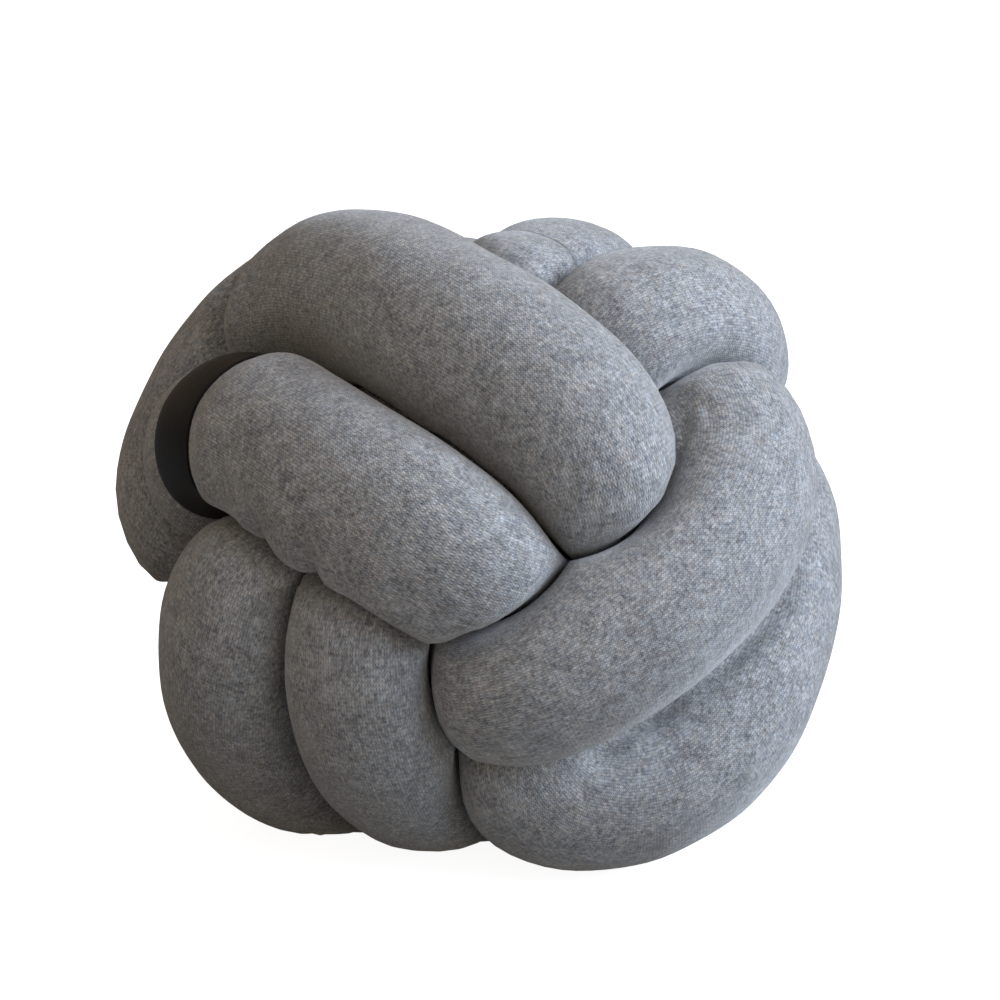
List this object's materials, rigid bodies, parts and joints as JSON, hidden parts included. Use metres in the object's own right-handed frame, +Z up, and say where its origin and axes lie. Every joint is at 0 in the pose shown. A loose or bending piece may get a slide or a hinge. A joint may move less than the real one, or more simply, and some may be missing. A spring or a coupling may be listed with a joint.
{
  "type": "knot cushion",
  "caption": "Ball-shaped floor cushion plaited from one long stuffed tube of melange wool knit, with a black satin ribbon band round the tube.",
  "frame": {"origin": "on the floor under the middle of the ball", "axes": "+Z up, -Y to the front, which the camera sees, and +X to the camera's right"},
  "size_m": [0.3038, 0.2962, 0.2619],
  "materials": {
    "wool_knit": "matte melange grey wool knit",
    "satin_ribbon": "black satin"
  },
  "bodies": {
    "root": {"tube": "wool_knit", "label_band": "satin_ribbon"}
  },
  "joints": []
}
